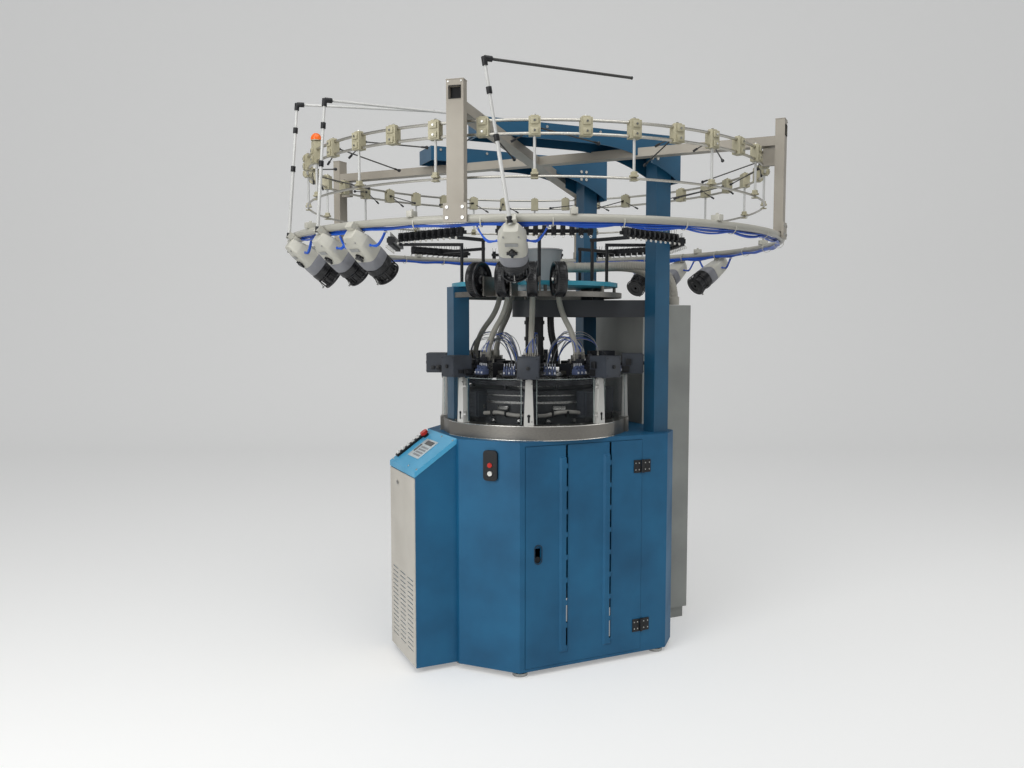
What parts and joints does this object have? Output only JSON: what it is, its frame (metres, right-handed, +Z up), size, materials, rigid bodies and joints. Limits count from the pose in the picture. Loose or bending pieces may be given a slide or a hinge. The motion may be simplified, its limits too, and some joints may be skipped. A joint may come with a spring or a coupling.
{
  "type": "seamless circular knitting machine",
  "caption": "Seamless circular knitting machine: hollow base cabinet with door, guarded needle cylinder, support plate, round yarn rails and storage feeders.",
  "frame": {"origin": "on the floor, on the axis of the needle cylinder and of the round rails", "axes": "+Z up along the needle cylinder's axis, -X towards the console, -Y towards the front door"},
  "size_m": [2.4498, 2.3698, 2.5517],
  "materials": {
    "cabinet_blue": "satin powder coat",
    "deep_blue": "satin enamel",
    "light_blue": "satin enamel",
    "beige": "satin enamel",
    "locker_grey": "satin enamel",
    "brushed_alloy": "brushed",
    "bright_steel": "ground",
    "dark_casting": "painted dark grey",
    "deck_iron": "painted edge",
    "black_plastic": "moulded",
    "dark_grey_plastic": "moulded",
    "white_plastic": "moulded",
    "red_plastic": "moulded",
    "grey_plastic": "moulded",
    "clamp_beige": "moulded",
    "hose_grey": "ribbed",
    "belt_rubber": "moulded",
    "clear_sheet": "clear polycarbonate"
  },
  "bodies": {
    "machine": {"levelling_feet": "bright_steel", "base_frame": "dark_casting", "cabinet_shell": "cabinet_blue", "deck_casting": "deck_iron", "drive_motor": "locker_grey", "drive_belt": "belt_rubber", "dial_column": "black_plastic", "fabric_tube": "brushed_alloy", "cam_ring": "dark_casting", "selector_boxes": "dark_grey_plastic", "tray_ring": "brushed_alloy", "guard_posts": "beige", "fixed_guards": "clear_sheet", "feed_boxes": "dark_grey_plastic", "feed_heads": "bright_steel", "columns": "deep_blue", "support_bridge": "dark_casting", "support_plate": "light_blue", "rim_ring": "brushed_alloy", "suction_canister": "grey_plastic", "suction_hoses": "hose_grey", "sensor_rails": "black_plastic", "creel_frame": "beige", "top_arms": "deep_blue", "feeder_ring": "beige", "yarn_rails": "bright_steel", "rail_clamps": "clamp_beige", "feeder_housings": "white_plastic", "hinge_leaves": "black_plastic", "console_housing": "cabinet_blue", "console_cover": "light_blue", "console_front_panel": "beige", "button_plates": "black_plastic", "electrical_cabinet": "locker_grey"},
    "front_door": {"front_door": "cabinet_blue"},
    "needle_cylinder": {"needle_cylinder": "bright_steel"},
    "dial": {"dial": "bright_steel"},
    "motor_pulley": {"motor_pulley": "bright_steel"},
    "guard_door_left": {"guard_door_left": "clear_sheet"},
    "guard_door_right": {"guard_door_right": "clear_sheet"},
    "emergency_stop": {"emergency_stop": "red_plastic"},
    "red_button": {"red_button": "red_plastic"},
    "white_button": {"white_button": "white_plastic"},
    "white_key_1": {"white_key_1": "white_plastic"},
    "white_key_2": {"white_key_2": "white_plastic"},
    "white_key_3": {"white_key_3": "white_plastic"},
    "white_key_4": {"white_key_4": "white_plastic"},
    "white_key_5": {"white_key_5": "white_plastic"},
    "elastane_wheel_1": {"elastane_wheel_1": "black_plastic"},
    "elastane_wheel_2": {"elastane_wheel_2": "black_plastic"},
    "elastane_wheel_3": {"elastane_wheel_3": "black_plastic"},
    "elastane_wheel_4": {"elastane_wheel_4": "black_plastic"},
    "feeder_drum_1": {"feeder_drum_1": "black_plastic"},
    "feeder_drum_2": {"feeder_drum_2": "black_plastic"},
    "feeder_drum_3": {"feeder_drum_3": "black_plastic"},
    "feeder_drum_4": {"feeder_drum_4": "black_plastic"},
    "feeder_drum_5": {"feeder_drum_5": "black_plastic"},
    "feeder_drum_6": {"feeder_drum_6": "black_plastic"},
    "feeder_drum_7": {"feeder_drum_7": "black_plastic"},
    "feeder_drum_8": {"feeder_drum_8": "black_plastic"}
  },
  "joints": [
    {"name": "front_door_hinge", "type": "hinge", "parent": "machine", "child": "front_door", "pos_m": [0.355, -0.449, 0.5], "axis": [0, 0, 1], "range_deg": [0, 110]},
    {"name": "cylinder_spin", "type": "hinge", "parent": "machine", "child": "needle_cylinder", "pos_m": [0, 0, 1.1], "axis": [0, 0, 1], "continuous": true},
    {"name": "dial_spin", "type": "hinge", "parent": "machine", "child": "dial", "pos_m": [0, 0, 1.4], "axis": [0, 0, 1], "continuous": true},
    {"name": "motor_spin", "type": "hinge", "parent": "machine", "child": "motor_pulley", "pos_m": [0.38, 0, 0.92], "axis": [0, 0, 1], "continuous": true},
    {"name": "guard_door_left_hinge", "type": "hinge", "parent": "machine", "child": "guard_door_left", "pos_m": [-0.43226, -0.15412, 1.25], "axis": [0, 0, -1], "range_deg": [0, 95]},
    {"name": "guard_door_right_hinge", "type": "hinge", "parent": "machine", "child": "guard_door_right", "pos_m": [0.09836, -0.44825, 1.25], "axis": [0, 0, 1], "range_deg": [0, 95]},
    {"name": "white_key_1_press", "type": "slide", "parent": "machine", "child": "white_key_1", "axis": [0.574, 0, -0.8189], "range_m": [0, 0.003], "stiffness_N_per_m": 300, "springref_m": -0.002},
    {"name": "white_key_2_press", "type": "slide", "parent": "machine", "child": "white_key_2", "axis": [0.574, 0, -0.8189], "range_m": [0, 0.003], "stiffness_N_per_m": 300, "springref_m": -0.002},
    {"name": "white_key_3_press", "type": "slide", "parent": "machine", "child": "white_key_3", "axis": [0.574, 0, -0.8189], "range_m": [0, 0.003], "stiffness_N_per_m": 300, "springref_m": -0.002},
    {"name": "white_key_4_press", "type": "slide", "parent": "machine", "child": "white_key_4", "axis": [0.574, 0, -0.8189], "range_m": [0, 0.003], "stiffness_N_per_m": 300, "springref_m": -0.002},
    {"name": "white_key_5_press", "type": "slide", "parent": "machine", "child": "white_key_5", "axis": [0.574, 0, -0.8189], "range_m": [0, 0.003], "stiffness_N_per_m": 300, "springref_m": -0.002},
    {"name": "emergency_stop_press", "type": "slide", "parent": "machine", "child": "emergency_stop", "axis": [0.574, 0, -0.8189], "range_m": [0, 0.004], "stiffness_N_per_m": 1500, "springref_m": -0.002},
    {"name": "red_button_press", "type": "slide", "parent": "machine", "child": "red_button", "axis": [0.7392, 0.6735, 0], "range_m": [0, 0.003], "stiffness_N_per_m": 400, "springref_m": -0.002},
    {"name": "white_button_press", "type": "slide", "parent": "machine", "child": "white_button", "axis": [0.7392, 0.6735, 0], "range_m": [0, 0.003], "stiffness_N_per_m": 400, "springref_m": -0.002},
    {"name": "elastane_wheel_1_spin", "type": "hinge", "parent": "machine", "child": "elastane_wheel_1", "pos_m": [-0.41941, -0.29367, 1.8], "axis": [0.5736, -0.8192, 0], "continuous": true},
    {"name": "elastane_wheel_2_spin", "type": "hinge", "parent": "machine", "child": "elastane_wheel_2", "pos_m": [-0.3359, -0.38641, 1.8], "axis": [0.7547, -0.6561, 0], "continuous": true},
    {"name": "elastane_wheel_3_spin", "type": "hinge", "parent": "machine", "child": "elastane_wheel_3", "pos_m": [-0.23244, -0.4562, 1.8], "axis": [0.891, -0.454, 0], "continuous": true},
    {"name": "elastane_wheel_4_spin", "type": "hinge", "parent": "machine", "child": "elastane_wheel_4", "pos_m": [-0.12386, -0.49679, 1.8], "axis": [0.9703, -0.2419, 0], "continuous": true},
    {"name": "feeder_drum_1_spin", "type": "hinge", "parent": "machine", "child": "feeder_drum_1", "pos_m": [-1.02779, -0.05386, 1.81972], "axis": [0.8079, 0.0423, -0.5878], "continuous": true},
    {"name": "feeder_drum_2_spin", "type": "hinge", "parent": "machine", "child": "feeder_drum_2", "pos_m": [-0.97883, -0.31804, 1.81972], "axis": [0.7694, 0.25, -0.5878], "continuous": true},
    {"name": "feeder_drum_3_spin", "type": "hinge", "parent": "machine", "child": "feeder_drum_3", "pos_m": [-0.90873, -0.48318, 1.81972], "axis": [0.7143, 0.3798, -0.5878], "continuous": true},
    {"name": "feeder_drum_4_spin", "type": "hinge", "parent": "machine", "child": "feeder_drum_4", "pos_m": [-0.5146, -0.89131, 1.81972], "axis": [0.4045, 0.7006, -0.5878], "continuous": true},
    {"name": "feeder_drum_5_spin", "type": "hinge", "parent": "machine", "child": "feeder_drum_5", "pos_m": [1.02779, 0.05386, 1.81972], "axis": [-0.8079, -0.0423, -0.5878], "continuous": true},
    {"name": "feeder_drum_6_spin", "type": "hinge", "parent": "machine", "child": "feeder_drum_6", "pos_m": [0.97883, 0.31804, 1.81972], "axis": [-0.7694, -0.25, -0.5878], "continuous": true},
    {"name": "feeder_drum_7_spin", "type": "hinge", "parent": "machine", "child": "feeder_drum_7", "pos_m": [0.90873, 0.48318, 1.81972], "axis": [-0.7143, -0.3798, -0.5878], "continuous": true},
    {"name": "feeder_drum_8_spin", "type": "hinge", "parent": "machine", "child": "feeder_drum_8", "pos_m": [0.5146, 0.89131, 1.81972], "axis": [-0.4045, -0.7006, -0.5878], "continuous": true}
  ],
  "couplings": [
    {"joint": "dial_spin", "follows": "cylinder_spin", "ratio": 1},
    {"joint": "motor_spin", "follows": "cylinder_spin", "ratio": 4.7778}
  ]
}
